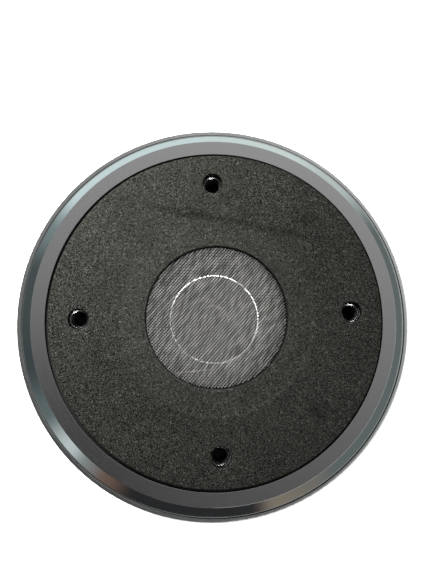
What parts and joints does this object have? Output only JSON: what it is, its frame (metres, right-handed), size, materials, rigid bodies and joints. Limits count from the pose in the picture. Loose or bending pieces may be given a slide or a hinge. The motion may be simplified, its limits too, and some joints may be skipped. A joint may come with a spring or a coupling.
{
  "type": "compression driver",
  "caption": "Round ferrite compression driver with a bolt-on throat, foam gasket, woven screen, aluminium magnet cover and a finned rear cover with two push terminals.",
  "frame": {"origin": "centre of the bolt circle, on the steel seat that the front gasket lies on", "axes": "+Z along the throat, out towards the horn; the wire terminals point along -Y"},
  "size_m": [0.1516, 0.1516, 0.074],
  "materials": {
    "foam": "matt",
    "screen_wire": "bare drawn wire",
    "plated_steel": "satin plated",
    "machined_steel": "machined",
    "copper": "bare",
    "plug_metal": "machined",
    "plug_plastic": "moulded, glass filled",
    "ferrite": "ground and sintered",
    "cover_aluminium": "turned",
    "titanium": "bare foil",
    "amber_film": "clear amber",
    "coil_wire": "enamelled",
    "moulded_ring": "moulded",
    "black_screws": "black oxide",
    "brass": "bare",
    "cast_cover": "black cast",
    "seal_rubber": "matt",
    "felt": "pressed felt",
    "badge_aluminium": "spun",
    "plated_post": "nickel plated",
    "spring_steel": "bright",
    "terminal_red": "moulded",
    "terminal_black": "moulded",
    "lead_red": "sleeved",
    "lead_black": "sleeved"
  },
  "bodies": {
    "motor": {"front_gasket": "foam", "throat_screen": "screen_wire", "front_plate": "plated_steel", "pole_piece": "machined_steel", "copper_cap": "copper", "phase_plug_body": "plug_metal", "phase_plug_outer_ring": "plug_plastic", "phase_plug_inner_ring": "plug_plastic", "phase_plug_bullet": "plug_plastic", "magnet_ring": "ferrite", "top_plate": "plated_steel", "magnet_cover": "cover_aluminium", "diaphragm_surround": "amber_film", "diaphragm_frame_ring": "moulded_ring", "diaphragm_clamp_ring": "moulded_ring", "diaphragm_screws": "black_screws", "alignment_pins": "machined_steel", "lead_out_strips": "copper", "contact_tabs": "brass", "rear_cover": "cast_cover", "cover_seal": "seal_rubber", "damping_pad": "felt", "cover_screws": "black_screws", "rear_badge": "badge_aluminium", "terminal_nuts": "brass", "terminal_base_red": "terminal_black", "terminal_post_red": "plated_post", "terminal_spring_red": "spring_steel", "lead_wire_red": "lead_red", "terminal_base_black": "terminal_black", "terminal_post_black": "plated_post", "terminal_spring_black": "spring_steel", "lead_wire_black": "lead_black"},
    "diaphragm": {"diaphragm_dome": "titanium", "coil_former": "amber_film", "voice_coil": "coil_wire"},
    "red_button": {"terminal_button_red": "terminal_red"},
    "black_button": {"terminal_button_black": "terminal_black"}
  },
  "joints": [
    {"name": "diaphragm_slide", "type": "slide", "parent": "motor", "child": "diaphragm", "axis": [0, 0, 1], "range_m": [-0.0004, 0.0004], "stiffness_N_per_m": 20000, "deforming": ["diaphragm_surround", "lead_out_strips"]},
    {"name": "red_button_slide", "type": "slide", "parent": "motor", "child": "red_button", "axis": [0, 1, 0], "range_m": [0, 0.003], "stiffness_N_per_m": 1200, "springref_m": -0.0012, "deforming": ["terminal_spring_red"]},
    {"name": "black_button_slide", "type": "slide", "parent": "motor", "child": "black_button", "axis": [0, 1, 0], "range_m": [0, 0.003], "stiffness_N_per_m": 1200, "springref_m": -0.0012, "deforming": ["terminal_spring_black"]}
  ]
}
